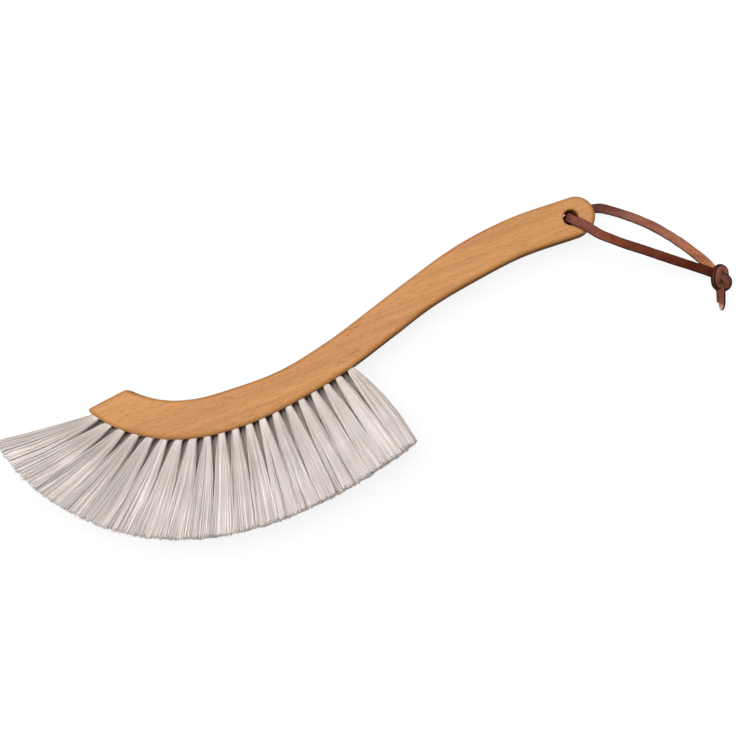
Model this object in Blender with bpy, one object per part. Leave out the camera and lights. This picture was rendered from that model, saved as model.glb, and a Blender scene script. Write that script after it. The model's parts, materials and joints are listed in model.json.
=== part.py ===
"""A dusting brush, lying on its side.

A one-piece curved beech handle carries two staggered rows of goat-hair tufts along
the lower edge of its head. Each tuft is folded at its root and set in a blind drilled
hole. A flat leather thong runs through a hole in the grip and ends in one knot.

Units are metres. X runs from the head to the grip, Z is up, and the part stands on Z = 0.
"""

import math
import random

import bmesh
import bpy
from mathutils import Matrix, Vector

# Driving dimensions of the handle: its centre line, its depth and its thickness
SPINE_RUN = 0.2625
SPINE_RISE = 0.1124
HEAD_DEPTH = 0.0214
WAIST_DEPTH = 0.0194
GRIP_DEPTH = 0.0218
BOARD_THICKNESS = 0.018
EDGE_ROUND = 0.0026
HEAD_TIP_ROUND = 0.0034
HEAD_CORNER_ROUND = 0.0014

# The centre line as (share of the run, share of the rise, depth across it)
SPINE_SHARES = (
    (0.000, 0.128, HEAD_DEPTH),
    (0.035, 0.072, HEAD_DEPTH),
    (0.094, 0.020, HEAD_DEPTH),
    (0.152, 0.000, HEAD_DEPTH),
    (0.210, 0.010, HEAD_DEPTH),
    (0.293, 0.063, HEAD_DEPTH),
    (0.395, 0.163, WAIST_DEPTH),
    (0.501, 0.314, WAIST_DEPTH),
    (0.600, 0.489, WAIST_DEPTH),
    (0.675, 0.624, WAIST_DEPTH),
    (0.777, 0.780, GRIP_DEPTH),
    (0.870, 0.893, GRIP_DEPTH),
    (1.000, 1.000, GRIP_DEPTH),
)

# The slanting saw cut that ends the head: its place along the spine's box and its slope
END_CUT_RUN_SHARE = -0.015
END_CUT_RISE_SHARE = 0.059
END_CUT_SLOPE = math.radians(27.6)

# Steps in each span of the centre line, round the grip's end and in the roundings
SPINE_STEPS = 3
GRIP_END_STEPS = 12
CORNER_STEPS = 3
EDGE_STEPS = 2
SHARP_ANGLE = math.radians(35.0)

# Tufts: two rows of drilled holes, staggered by half a pitch
TUFT_COUNT = 20
TUFT_PITCH = 0.0079
FIRST_TUFT_INSET = 0.0066
ROW_SPACING = 0.0088
ROW_SPLAY = math.radians(4.4)
TUFT_DIAMETER = 0.0038
HOLE_CLEARANCE = 0.0003
HOLE_DEPTH = 0.0075
HOLE_SIDES = 12
COLLAR = 0.0016
LONGEST_TUFT = 0.0553
SHORTEST_TUFT = 0.0535
LONGEST_TUFT_SHARE = 0.45
LEAN_SHARE = 0.5

# The fan of the hair: its first and last headings, the share of the turn that is even
# along the row, and how strongly the rest gathers towards the head's tip
FAN_START = math.radians(-157.5)
FAN_END = math.radians(-52.5)
FAN_EVEN_SHARE = 0.35
FAN_BIAS = 2.2

# Strands of one tuft: four along the edge by three across it
STRAND_COLUMNS = 4
STRAND_LAYERS = 3
BELLY_SHARE = 0.78
TUFT_WIDTH_SHARE = 0.94
TUFT_THICKNESS = 0.0115
STRAND_FILL_SHARE = 0.78
TRIM_SPREAD = 0.0016
TRIM_SEED = 7
FLAT_CUT = 0.0005

# The hole for the thong, countersunk on both faces
THONG_HOLE_DIAMETER = 0.0084
THONG_HOLE_FROM_END = 0.0138
RIM_FLARE = 0.0010
THONG_HOLE_SIDES = 20

# The leather thong
LACE_WIDTH = 0.0050
LACE_THICKNESS = 0.0023
LACE_CHAMFER = 0.0005
LACE_STEPS = 2
FIT_GAP = 0.0003
MERGE_GAP = 0.00003
OVERRUN = 0.003

# The two tails: their lengths, their places on the knot and how far they taper
TAIL_LENGTHS = (0.0101, 0.0060)
TAIL_REACH = 0.0862
TAIL_TOP = -0.0393
TAIL_MIDDLE_HEIGHT = 0.0047
TAIL_SHIFT = 0.0006
TAIL_PLACE_SHARES = (0.0, 0.25, 0.5, 0.75, 1.0)
TAIL_WIDTH_SHARES = (1.0, 1.0, 1.0, 0.88, 0.65)

# Routes of the thong from the hole's axis: along X, along Y and height above the floor
FRONT_LEG_ROUTE = (
    (0.0069, -0.0044, 0.02362),
    (0.0109, -0.0068, 0.02362),
    (0.0156, -0.0096, 0.02350),
    (0.0223, -0.0122, 0.02290),
    (0.0292, -0.0144, 0.02100),
    (0.0363, -0.0162, 0.01840),
    (0.0434, -0.0180, 0.01560),
    (0.0506, -0.0199, 0.01280),
    (0.0577, -0.0218, 0.01040),
    (0.0648, -0.0238, 0.00860),
    (0.0718, -0.0258, 0.00720),
    (0.0800, -0.0284, 0.00620),
)
BACK_LEG_ROUTE = (
    (0.0071, 0.0038, 0.00258),
    (0.0110, 0.0061, 0.00258),
    (0.0150, 0.0078, 0.00255),
    (0.0192, 0.0081, 0.00250),
    (0.0259, 0.0066, 0.00225),
    (0.0327, 0.0046, 0.00190),
    (0.0395, 0.0022, 0.00160),
    (0.0463, -0.0007, 0.00150),
    (0.0530, -0.0041, 0.00150),
    (0.0597, -0.0082, 0.00155),
    (0.0663, -0.0128, 0.00190),
    (0.0729, -0.0180, 0.00250),
    (0.0798, -0.0242, 0.00320),
)

# The bight in the hole, which bends loosely near the wall away from the legs: its reach
# from the axis towards them, its shift across that, its turn in degrees and its height
BIGHT_ROUTE = (
    (0.00780, -0.00050, -30.4, 0.02362),
    (0.00500, -0.00060, -30.0, 0.02362),
    (0.00330, -0.00090, -29.5, 0.02361),
    (0.00170, -0.00105, -29.0, 0.02335),
    (0.00040, -0.00100, -28.0, 0.02260),
    (-0.00060, -0.00070, -26.0, 0.02140),
    (-0.00120, -0.00030, -22.0, 0.01970),
    (-0.00140, 0.0, -12.0, 0.01650),
    (-0.00140, 0.0, 0.0, 0.01310),
    (-0.00140, 0.0, 12.0, 0.00970),
    (-0.00110, 0.0, 20.0, 0.00680),
    (-0.00020, 0.0, 24.0, 0.00470),
    (0.00110, 0.0, 26.0, 0.00340),
    (0.00270, 0.0, 27.4, 0.00272),
    (0.00450, 0.0, 28.0, 0.00258),
    (0.00772, 0.0, 28.2, 0.00258),
)

# The overhand knot that both legs are tied in, drawn tight: the route of the doubled
# lace from the legs, round the right bight, over the legs, round the top and out as tails
KNOT_ROUTE = (
    (0.0809, -0.0282, 0.0048),
    (0.0832, -0.0294, 0.0038),
    (0.0857, -0.0304, 0.0045),
    (0.0881, -0.0313, 0.0059),
    (0.0898, -0.0332, 0.0057),
    (0.0895, -0.0356, 0.0038),
    (0.0871, -0.0366, 0.0028),
    (0.0845, -0.0356, 0.0035),
    (0.0832, -0.0333, 0.0053),
    (0.0831, -0.0302, 0.0069),
    (0.0840, -0.0274, 0.0064),
    (0.0862, -0.0262, 0.0050),
    (0.0884, -0.0276, 0.0035),
    (0.0887, -0.0304, 0.0028),
    (0.0875, -0.0333, 0.0044),
    (0.0868, -0.0360, 0.0059),
    (0.0868, -0.0384, 0.0058),
)
KNOT_LACE_DIAMETER = 0.0042
KNOT_LACE_SIDES = 10
KNOT_STEPS = 3
KNOT_TUCK_SHARE = 0.9

# Spans of the knot's route that each of its three turns covers
KNOT_TURNS = ((0, 7), (7, 13), (13, 16))


def clear_scene():
    """Remove every object that the new file starts with."""
    for item in list(bpy.data.objects):
        bpy.data.objects.remove(item, do_unlink=True)


def make_material(name, colour, roughness, metallic=0.0):
    """Return a plain Principled material."""
    material = bpy.data.materials.new(name)
    material.use_nodes = True
    shader = material.node_tree.nodes["Principled BSDF"]
    shader.inputs["Base Color"].default_value = (*colour, 1.0)
    shader.inputs["Roughness"].default_value = roughness
    shader.inputs["Metallic"].default_value = metallic
    material.diffuse_color = (*colour, 1.0)
    return material


def make_empty(name, location, parent=None):
    """Return an empty that carries the pieces of one body."""
    empty = bpy.data.objects.new(name, None)
    empty.location = location
    empty.parent = parent
    bpy.context.collection.objects.link(empty)
    return empty


def make_object(name, bm, material, parent):
    """Turn a bmesh into a named object with smooth faces and sharp edges."""
    mesh = bpy.data.meshes.new(name)
    bm.to_mesh(mesh)
    bm.free()
    mesh.shade_smooth()
    mesh.set_sharp_from_angle(angle=SHARP_ANGLE)
    item = bpy.data.objects.new(name, mesh)
    item.data.materials.append(material)
    item.parent = parent
    bpy.context.collection.objects.link(item)
    return item


def make_cutter(name, bm, parent):
    """Turn a bmesh into a cutter or a shape to join, drawn as wire and never rendered."""
    mesh = bpy.data.meshes.new(name)
    bm.to_mesh(mesh)
    bm.free()
    item = bpy.data.objects.new(name, mesh)
    item.hide_render = True
    item.display_type = "WIRE"
    item.parent = parent
    bpy.context.collection.objects.link(item)
    return item


def cut(item, cutter):
    """Take a cutter's shape out of an object."""
    modifier = item.modifiers.new(cutter.name, "BOOLEAN")
    modifier.operation = "DIFFERENCE"
    modifier.object = cutter


def join(item, other):
    """Unite a hidden shape with an object, also where a tight bend folds into itself."""
    modifier = item.modifiers.new(other.name, "BOOLEAN")
    modifier.operation = "UNION"
    modifier.use_self = True
    modifier.object = other


def smooth_curve(points, steps):
    """Return a smooth curve through points of any dimension, with steps to each span."""
    points = [Vector(point) for point in points]
    spans = [(b - a).length for a, b in zip(points, points[1:])]
    slopes = [(b - a) / span for a, b, span in zip(points, points[1:], spans)]
    tangents = [slopes[0]]
    for before, after, left, right in zip(slopes, slopes[1:], spans, spans[1:]):
        tangents.append((before * right + after * left) / (left + right))
    tangents.append(slopes[-1])
    curve = []
    for index, span in enumerate(spans):
        for step in range(steps):
            t = step / steps
            start = points[index] * (2 * t**3 - 3 * t**2 + 1)
            end = points[index + 1] * (3 * t**2 - 2 * t**3)
            leave = tangents[index] * span * (t**3 - 2 * t**2 + t)
            arrive = tangents[index + 1] * span * (t**3 - t**2)
            curve.append(start + end + leave + arrive)
    curve.append(points[-1])
    return curve


def directions(line):
    """Return the direction of a line at each of its points."""
    ends = [line[0], *line, line[-1]]
    return [(after - before).normalized() for before, after in zip(ends, ends[2:])]


# The handle

def spine(steps):
    """Return the centre line as points, directions and depths."""
    stations = []
    for run, rise, depth in SPINE_SHARES:
        stations.append(Vector((run * SPINE_RUN, rise * SPINE_RISE, depth)))
    curve = smooth_curve(stations, steps)
    line = [Vector((point.x, point.y, 0.0)) for point in curve]
    depths = [point.z for point in curve]
    return line, directions(line), depths


def edge_line(side, steps):
    """Return the upper (side 1) or lower (side -1) edge of the board."""
    edge = []
    for point, direction, depth in zip(*spine(steps)):
        normal = Vector((-direction.y, direction.x, 0.0))
        edge.append(point + normal * side * depth / 2)
    return edge


def end_cut_plane():
    """Return a point on the saw cut of the head and the direction away from the wood."""
    place = Vector((END_CUT_RUN_SHARE * SPINE_RUN, END_CUT_RISE_SHARE * SPINE_RISE, 0.0))
    outward = Vector((-math.sin(END_CUT_SLOPE), math.cos(END_CUT_SLOPE), 0.0))
    return place, outward


def grip_end(steps):
    """Return the half round end of the grip, from the lower edge to the upper one."""
    line, headings, depths = spine(SPINE_STEPS)
    centre = line[-1]
    heading = headings[-1]
    arc = []
    for step in range(1, steps):
        turn = math.pi * (step / steps - 0.5)
        arc.append(centre + Matrix.Rotation(turn, 3, "Z") @ heading * depths[-1] / 2)
    return arc


def thong_hole_centre():
    """Return the axis of the thong's hole, on the spine back from the grip's end."""
    line, headings, depths = spine(SPINE_STEPS)
    return line[-1] + headings[-1] * (depths[-1] / 2 - THONG_HOLE_FROM_END)


def sawn_edge(side, steps):
    """Return an edge of the board from its corner at the saw cut to the grip."""
    line = edge_line(side, steps)
    place, outward = end_cut_plane()
    heights = [(point - place).dot(outward) for point in line]
    first = next(index for index, height in enumerate(heights) if height < 0.0)
    if first == 0:
        return line
    share = heights[first - 1] / (heights[first - 1] - heights[first])
    return [line[first - 1].lerp(line[first], share), *line[first:]]


def make_handle_body():
    """Saw the board to its outline, round its corners and then its long edges."""
    lower = sawn_edge(-1, SPINE_STEPS)
    upper = sawn_edge(1, SPINE_STEPS)
    outline = lower + grip_end(GRIP_END_STEPS) + upper[::-1]
    bm = bmesh.new()
    verts = [bm.verts.new(point) for point in outline]
    bm.faces.new(verts)
    for corner, offset in ((verts[0], HEAD_TIP_ROUND), (verts[-1], HEAD_CORNER_ROUND)):
        bmesh.ops.bevel(
            bm, geom=[corner], offset=offset, segments=CORNER_STEPS, profile=0.5,
            affect="VERTICES", material=-1,
        )
    bmesh.ops.translate(bm, verts=bm.verts[:], vec=(0.0, 0.0, -BOARD_THICKNESS / 2))
    extruded = bmesh.ops.extrude_face_region(bm, geom=bm.faces[:])
    top = [part for part in extruded["geom"] if isinstance(part, bmesh.types.BMVert)]
    bmesh.ops.translate(bm, verts=top, vec=(0.0, 0.0, BOARD_THICKNESS))
    bmesh.ops.recalc_face_normals(bm, faces=bm.faces[:])
    rims = [edge for edge in bm.edges if edge.verts[0].co.z == edge.verts[1].co.z]
    bmesh.ops.bevel(
        bm, geom=rims, offset=EDGE_ROUND, segments=EDGE_STEPS, profile=0.5,
        affect="EDGES", material=-1,
    )
    return bm


def make_thong_hole_cutter(centre):
    """Turn the thong's hole with a flare at each face."""
    radius = THONG_HOLE_DIAMETER / 2
    face = BOARD_THICKNESS / 2
    profile = (
        (0.0, face + OVERRUN),
        (radius + RIM_FLARE + OVERRUN, face + OVERRUN),
        (radius, face - RIM_FLARE),
        (radius, RIM_FLARE - face),
        (radius + RIM_FLARE + OVERRUN, -face - OVERRUN),
        (0.0, -face - OVERRUN),
    )
    bm = bmesh.new()
    verts = [bm.verts.new((centre.x + reach, centre.y, height)) for reach, height in profile]
    edges = [bm.edges.new(pair) for pair in zip(verts, verts[1:])]
    bmesh.ops.spin(
        bm, geom=verts + edges, cent=centre, axis=(0.0, 0.0, 1.0),
        angle=2 * math.pi, steps=THONG_HOLE_SIDES, use_merge=True,
    )
    bmesh.ops.remove_doubles(bm, verts=bm.verts[:], dist=MERGE_GAP)
    bmesh.ops.recalc_face_normals(bm, faces=bm.faces[:])
    return bm


# The tufts

def walk_along(line, distance):
    """Return the point and the direction at a distance along a line."""
    for start, end in zip(line, line[1:]):
        span = (end - start).length
        if distance <= span:
            break
        distance -= span
    direction = (end - start).normalized()
    return start + direction * distance, direction


def fan_turn(position):
    """Return the heading of the hair at a position, which turns fastest at the head's tip."""
    left = 1.0 - position / (TUFT_COUNT - 1)
    gathered = math.copysign(abs(left) ** FAN_BIAS, left)
    share = FAN_EVEN_SHARE * left + (1.0 - FAN_EVEN_SHARE) * gathered
    return FAN_END + (FAN_START - FAN_END) * share


def tuft_place(row, position):
    """Return the mouth, drilling axis, hair axis and local pitch of one tuft.

    row is 1 for the front row and -1 for the back one, position counts pitches
    from the first front tuft.
    """
    edge = sawn_edge(-1, SPINE_STEPS)
    mouth, along = walk_along(edge, FIRST_TUFT_INSET + position * TUFT_PITCH)
    mouth = mouth + Vector((0.0, 0.0, row * ROW_SPACING / 2))
    square = math.atan2(-along.x, along.y)
    fan = fan_turn(position)
    drill = square + (fan - square) * LEAN_SHARE
    flat = math.cos(ROW_SPLAY)
    rise = row * math.sin(ROW_SPLAY)
    drill_axis = Vector((math.cos(drill) * flat, math.sin(drill) * flat, rise))
    hair_axis = Vector((math.cos(fan) * flat, math.sin(fan) * flat, rise))
    pitch = TUFT_PITCH * math.cos(fan - square)
    return mouth, drill_axis, hair_axis, pitch


def tuft_length(position):
    """Return the free length of a tuft, longest left of the middle of the head."""
    share = position / (TUFT_COUNT - 1)
    reach = share - LONGEST_TUFT_SHARE
    end = LONGEST_TUFT_SHARE if reach < 0.0 else 1.0 - LONGEST_TUFT_SHARE
    return LONGEST_TUFT - (LONGEST_TUFT - SHORTEST_TUFT) * (reach / end) ** 2


def cross_axes(axis):
    """Return the two directions across an axis, along the edge and away from the board."""
    side = axis.cross(Vector((0.0, 0.0, 1.0))).normalized()
    return side, side.cross(axis)


def make_tuft(row, position, rng):
    """Model a tuft as a packed root with twelve tapered strands that grow from it."""
    mouth, drill_axis, hair_axis, pitch = tuft_place(row, position)
    length = tuft_length(position)
    radius = TUFT_DIAMETER / 2
    side, up = cross_axes(drill_axis)
    hair_side, hair_up = cross_axes(hair_axis)
    bm = bmesh.new()
    bmesh.ops.create_grid(bm, x_segments=STRAND_COLUMNS, y_segments=STRAND_LAYERS, size=1.0)
    cells = [(face, face.calc_center_median()) for face in bm.faces]
    for vert in bm.verts:
        x, y, _ = vert.co
        across = x * math.sqrt(1.0 - y * y / 2) * radius
        above = y * math.sqrt(1.0 - x * x / 2) * radius
        vert.co = mouth + drill_axis * COLLAR + side * across + up * above
    rim = [edge for edge in bm.edges if edge.is_boundary]
    root = bmesh.ops.extrude_edge_only(bm, edges=rim)["geom"]
    root_verts = [part for part in root if isinstance(part, bmesh.types.BMVert)]
    root_edges = [part for part in root if isinstance(part, bmesh.types.BMEdge)]
    depth = COLLAR + HOLE_DEPTH - HOLE_CLEARANCE
    bmesh.ops.translate(bm, verts=root_verts, vec=-drill_axis * depth)
    bmesh.ops.edgeloop_fill(bm, edges=root_edges)
    belly_reach = length * BELLY_SHARE
    fan_step = fan_turn(position + 0.5) - fan_turn(position - 0.5)
    belly_width = (pitch + belly_reach * math.sin(fan_step)) * TUFT_WIDTH_SHARE
    half_width = belly_width / STRAND_COLUMNS / 2 * STRAND_FILL_SHARE
    half_height = TUFT_THICKNESS / STRAND_LAYERS / 2 * STRAND_FILL_SHARE
    for face, cell in cells:
        base = face.calc_center_median()
        strand = bmesh.ops.extrude_discrete_faces(bm, faces=[face])["faces"][0]
        offset = hair_side * cell.x * belly_width / 2 + hair_up * cell.y * TUFT_THICKNESS / 2
        belly = mouth + hair_axis * belly_reach + offset
        for vert in strand.verts:
            away = vert.co - base
            across = math.copysign(half_width, away.dot(side))
            above = math.copysign(half_height, away.dot(up))
            vert.co = belly + hair_side * across + hair_up * above
        trim = rng.uniform(-TRIM_SPREAD, TRIM_SPREAD)
        tip = mouth + hair_axis * (length + trim) + offset * (length / belly_reach)
        bmesh.ops.poke(bm, faces=[strand])["verts"][0].co = tip
    bmesh.ops.recalc_face_normals(bm, faces=bm.faces[:])
    return bm


def make_drill(row, position, bm):
    """Add the drill of one tuft's blind hole to the cutter."""
    mouth, drill_axis, _, _ = tuft_place(row, position)
    side, up = cross_axes(drill_axis)
    length = HOLE_DEPTH + OVERRUN
    centre = mouth + drill_axis * (OVERRUN - HOLE_DEPTH) / 2
    turn = Matrix((side, up, -drill_axis)).transposed().to_4x4()
    radius = (TUFT_DIAMETER / 2 + HOLE_CLEARANCE) / math.cos(math.pi / HOLE_SIDES)
    bmesh.ops.create_cone(
        bm, cap_ends=True, segments=HOLE_SIDES, radius1=radius, radius2=radius,
        depth=length, matrix=Matrix.Translation(centre) @ turn,
    )


def cut_flat(bm, floor):
    """Cut the strands flat where the brush stands on them."""
    geometry = bm.verts[:] + bm.edges[:] + bm.faces[:]
    bmesh.ops.bisect_plane(
        bm, geom=geometry, plane_co=(0.0, 0.0, floor), plane_no=(0.0, 0.0, -1.0),
        clear_outer=True,
    )
    open_edges = [edge for edge in bm.edges if edge.is_boundary]
    if open_edges:
        bmesh.ops.holes_fill(bm, edges=open_edges)


# The thong

def lace_section():
    """Return the section of the lace: across its width and through its thickness."""
    half_width = LACE_WIDTH / 2
    half = LACE_THICKNESS / 2
    quarter = ((half_width, half - LACE_CHAMFER), (half_width - LACE_CHAMFER, half))
    right = [*quarter, *[(across, -above) for across, above in quarter[::-1]]]
    return [
        right[1], (-right[1][0], right[1][1]), (-right[0][0], right[0][1]),
        (-right[3][0], right[3][1]), (-right[2][0], right[2][1]), right[2], right[3], right[0],
    ]


def make_lace(line, sides, widths=None):
    """Sweep the lace's section along a line, with its width along the given sides."""
    bm = bmesh.new()
    widths = widths or [1.0] * len(line)
    rings = []
    for point, direction, side, width in zip(line, directions(line), sides, widths):
        above = direction.cross(side).normalized()
        across = above.cross(direction)
        ring = [bm.verts.new(point + across * x * width + above * y) for x, y in lace_section()]
        rings.append(ring)
    for ring, following in zip(rings, rings[1:]):
        for index, vert in enumerate(ring):
            corners = (vert, ring[index - 1], following[index - 1], following[index])
            bm.faces.new(corners)
    bm.faces.new(rings[0])
    bm.faces.new(rings[-1][::-1])
    bmesh.ops.recalc_face_normals(bm, faces=bm.faces[:])
    return bm


def make_leg(route):
    """Model a leg of the thong, which lies flat along its route."""
    line = smooth_curve(route, LACE_STEPS)
    up = Vector((0.0, 0.0, 1.0))
    sides = [up.cross(direction).normalized() for direction in directions(line)]
    return make_lace(line, sides)


def make_bight():
    """Model the stretch that bends over both rims of the hole and runs through it."""
    stations = []
    widths_along = []
    for reach, aside, turn, height in BIGHT_ROUTE:
        turned = Matrix.Rotation(math.radians(turn), 3, "Z")
        stations.append(turned @ Vector((reach, aside, height)))
        widths_along.append(turned @ Vector((0.0, 1.0, 0.0)))
    line = smooth_curve(stations, LACE_STEPS)
    sides = []
    for side, following in zip(widths_along, widths_along[1:]):
        for step in range(LACE_STEPS):
            sides.append(side.lerp(following, step / LACE_STEPS))
    sides.append(widths_along[-1])
    return make_lace(line, sides)


def make_turn(first, last):
    """Model one turn of the knot, whose ends tuck into the turns before and after it."""
    line = smooth_curve(KNOT_ROUTE, KNOT_STEPS)
    tucked = max(first * KNOT_STEPS - 1, 0)
    line = line[tucked:last * KNOT_STEPS + 1]
    side = directions(line)[0].cross(Vector((0.0, 0.0, 1.0))).normalized()
    bm = bmesh.new()
    rings = []
    for index, (point, direction) in enumerate(zip(line, directions(line))):
        side = (side - direction * side.dot(direction)).normalized()
        above = side.cross(direction)
        share = KNOT_TUCK_SHARE if index == 0 and tucked else 1.0
        radius = KNOT_LACE_DIAMETER / 2 * share
        ring = []
        for step in range(KNOT_LACE_SIDES):
            angle = 2 * math.pi * step / KNOT_LACE_SIDES
            offset = side * math.cos(angle) + above * math.sin(angle)
            ring.append(bm.verts.new(point + offset * radius))
        rings.append(ring)
    for ring, following in zip(rings, rings[1:]):
        for index, vert in enumerate(ring):
            bm.faces.new((vert, ring[index - 1], following[index - 1], following[index]))
    bm.faces.new(rings[0])
    bm.faces.new(rings[-1][::-1])
    bmesh.ops.recalc_face_normals(bm, faces=bm.faces[:])
    return bm


def make_knot(material, parent):
    """Model the knot as the three turns of an overhand knot, drawn into each other."""
    knot = make_object("thong_knot", make_turn(*KNOT_TURNS[0]), material, parent)
    for number, turn in enumerate(KNOT_TURNS[1:], start=2):
        join(knot, make_cutter(f"knot_turn_{number}", make_turn(*turn), parent))


def make_tail(index):
    """Model a tail of the thong, cut to a taper at its free end."""
    layer = 1 - 2 * index
    height = TAIL_MIDDLE_HEIGHT + layer * (LACE_THICKNESS + FIT_GAP) / 2
    place = TAIL_REACH + layer * TAIL_SHIFT
    line = []
    for share in TAIL_PLACE_SHARES:
        line.append(Vector((place, TAIL_TOP - TAIL_LENGTHS[index] * share, height)))
    sides = [Vector((1.0, 0.0, 0.0))] * len(line)
    return make_lace(line, sides, TAIL_WIDTH_SHARES)


def main():
    """Build every piece and stand the brush on the floor about its centre."""
    clear_scene()
    beech = make_material("oiled_beech", (0.64, 0.32, 0.12), 0.45)
    hair = make_material("goat_hair", (0.62, 0.55, 0.50), 0.70)
    leather = make_material("brown_leather", (0.17, 0.045, 0.022), 0.55)
    brush = make_empty("brush_body", (0.0, 0.0, 0.0))

    rng = random.Random(TRIM_SEED)
    rows = ((1, "front_tuft", TUFT_COUNT, 0.0), (-1, "back_tuft", TUFT_COUNT - 1, 0.5))
    drills = bmesh.new()
    tufts = []
    for row, row_name, count, offset in rows:
        for index in range(count):
            name = f"{row_name}_{index + 1:02d}"
            tufts.append((name, make_tuft(row, index + offset, rng)))
            make_drill(row, index + offset, drills)
    floor = min(vert.co.z for _, bm in tufts for vert in bm.verts) + FLAT_CUT
    for name, bm in tufts:
        cut_flat(bm, floor)
        make_object(name, bm, hair, brush)

    hole_centre = thong_hole_centre()
    handle = make_object("handle", make_handle_body(), beech, brush)
    cut(handle, make_cutter("tuft_drills", drills, brush))
    cut(handle, make_cutter("thong_drill", make_thong_hole_cutter(hole_centre), brush))

    thong = make_empty("thong_body", (hole_centre.x, hole_centre.y, floor), brush)
    make_object("thong_bight", make_bight(), leather, thong)
    make_object("thong_front_leg", make_leg(FRONT_LEG_ROUTE), leather, thong)
    make_object("thong_back_leg", make_leg(BACK_LEG_ROUTE), leather, thong)
    make_knot(leather, thong)
    make_object("thong_front_tail", make_tail(0), leather, thong)
    make_object("thong_back_tail", make_tail(1), leather, thong)

    bpy.context.view_layer.update()
    graph = bpy.context.evaluated_depsgraph_get()
    low = Vector((math.inf, math.inf, math.inf))
    high = -low
    for item in brush.children:
        if item.type == "MESH" and not item.hide_render:
            for vert in item.evaluated_get(graph).data.vertices:
                for axis in range(3):
                    low[axis] = min(low[axis], vert.co[axis])
                    high[axis] = max(high[axis], vert.co[axis])
    brush.location = (-(low.x + high.x) / 2, -(low.y + high.y) / 2, -low.z)
    bpy.context.view_layer.update()


main()
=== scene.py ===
"""A dusting brush lying on its side: the looks of its beech, its goat hair and its leather.

Units are metres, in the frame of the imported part. X runs from the head to the grip, and Z is
up through the thickness of the board.
"""

import json
import math
import random

import bmesh
import bpy
from mathutils import Matrix, Vector, noise


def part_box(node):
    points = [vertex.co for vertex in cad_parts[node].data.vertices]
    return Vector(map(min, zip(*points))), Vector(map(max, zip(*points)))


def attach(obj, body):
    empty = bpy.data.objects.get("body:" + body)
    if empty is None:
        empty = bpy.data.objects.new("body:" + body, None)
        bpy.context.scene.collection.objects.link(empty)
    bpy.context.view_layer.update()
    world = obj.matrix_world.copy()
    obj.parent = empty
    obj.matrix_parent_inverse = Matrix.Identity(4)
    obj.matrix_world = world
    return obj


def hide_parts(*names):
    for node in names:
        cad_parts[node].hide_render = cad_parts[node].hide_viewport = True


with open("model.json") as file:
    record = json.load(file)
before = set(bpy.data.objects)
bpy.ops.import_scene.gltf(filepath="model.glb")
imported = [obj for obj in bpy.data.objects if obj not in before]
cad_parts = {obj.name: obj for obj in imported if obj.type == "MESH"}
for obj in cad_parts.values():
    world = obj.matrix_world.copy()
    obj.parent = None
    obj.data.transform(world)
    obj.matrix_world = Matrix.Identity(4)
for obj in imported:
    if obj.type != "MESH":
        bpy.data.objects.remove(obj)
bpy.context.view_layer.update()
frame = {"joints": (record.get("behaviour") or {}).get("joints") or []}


# The place where the brush lies: a white table top, seen from almost straight above. A large
# soft lamp hangs over the brush, behind it and to its left. Weak ones light it from the back
# and from low in front, so that the trimmed ends of the hair aren't black.
VIEW_TARGET = Vector((0.0376, -0.0002, 0.0220))
VIEW_DISTANCE = 0.800
VIEW_ELEVATION = math.radians(87.0)
VIEW_WIDTH = 0.4026
SENSOR_WIDTH = 36.0
# Each lamp: its name, place, size, power in watts and colour.
LAMPS = (
    ("window_lamp", (0.30, 0.90, 1.35), 0.75, 2.0, (1.0, 0.985, 0.96)),
    ("ceiling_lamp", (-0.36, 0.34, 1.45), 1.50, 39.8, (0.98, 0.99, 1.0)),
    ("low_lamp", (0.05, -1.10, 0.30), 1.00, 2.8, (1.0, 0.96, 0.92)),
)
ROOM_COLOUR = (0.95, 0.97, 1.0, 1.0)
ROOM_STRENGTH = 0.05
TABLE_SIZE = 8.0
TABLE_COLOUR = (0.90, 0.90, 0.90, 1.0)
TABLE_SHOWN_WHITE = 0.86
TABLE_BOUNCE = (0.13, 0.13, 0.13, 1.0)

lens = bpy.data.cameras.new("camera")
lens.sensor_width = SENSOR_WIDTH
lens.lens = SENSOR_WIDTH * VIEW_DISTANCE / VIEW_WIDTH
camera = bpy.data.objects.new("camera", lens)
camera.location = VIEW_TARGET + VIEW_DISTANCE * Vector(
    (0.0, -math.cos(VIEW_ELEVATION), math.sin(VIEW_ELEVATION))
)
camera.rotation_euler = (math.pi / 2 - VIEW_ELEVATION, 0.0, 0.0)
bpy.context.scene.collection.objects.link(camera)
bpy.context.scene.camera = camera
bpy.context.scene.view_settings.view_transform = "Standard"

for name, place, size, power, colour in LAMPS:
    soft_box = bpy.data.lights.new(name, "AREA")
    soft_box.shape = "SQUARE"
    soft_box.size = size
    soft_box.energy = power
    soft_box.color = colour
    lamp = bpy.data.objects.new(name, soft_box)
    lamp.location = place
    lamp.rotation_euler = (-Vector(place)).to_track_quat("-Z", "Y").to_euler()
    bpy.context.scene.collection.objects.link(lamp)


def shade(tree, kind, inputs, **options):
    """Add a shader node with these options, and fill or link its inputs."""
    made = tree.nodes.new("ShaderNode" + kind)
    for option, value in options.items():
        setattr(made, option, value)
    for name, value in inputs.items():
        if isinstance(value, bpy.types.NodeSocket):
            tree.links.new(value, made.inputs[name])
        else:
            made.inputs[name].default_value = value
    return made


def place_mesh(name, bm):
    """Turn a finished bmesh into an object of the scene."""
    mesh = bpy.data.meshes.new(name)
    bm.to_mesh(mesh)
    bm.free()
    made = bpy.data.objects.new(name, mesh)
    bpy.context.scene.collection.objects.link(made)
    return made


room = bpy.data.worlds.new("room")
room.use_nodes = True
air = room.node_tree.nodes["Background"]
air.inputs["Color"].default_value = ROOM_COLOUR
air.inputs["Strength"].default_value = ROOM_STRENGTH
bpy.context.scene.world = room

table_top = bpy.data.materials.new("table_top")
table_top.use_nodes = True
tree = table_top.node_tree
tree.nodes.clear()
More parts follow.
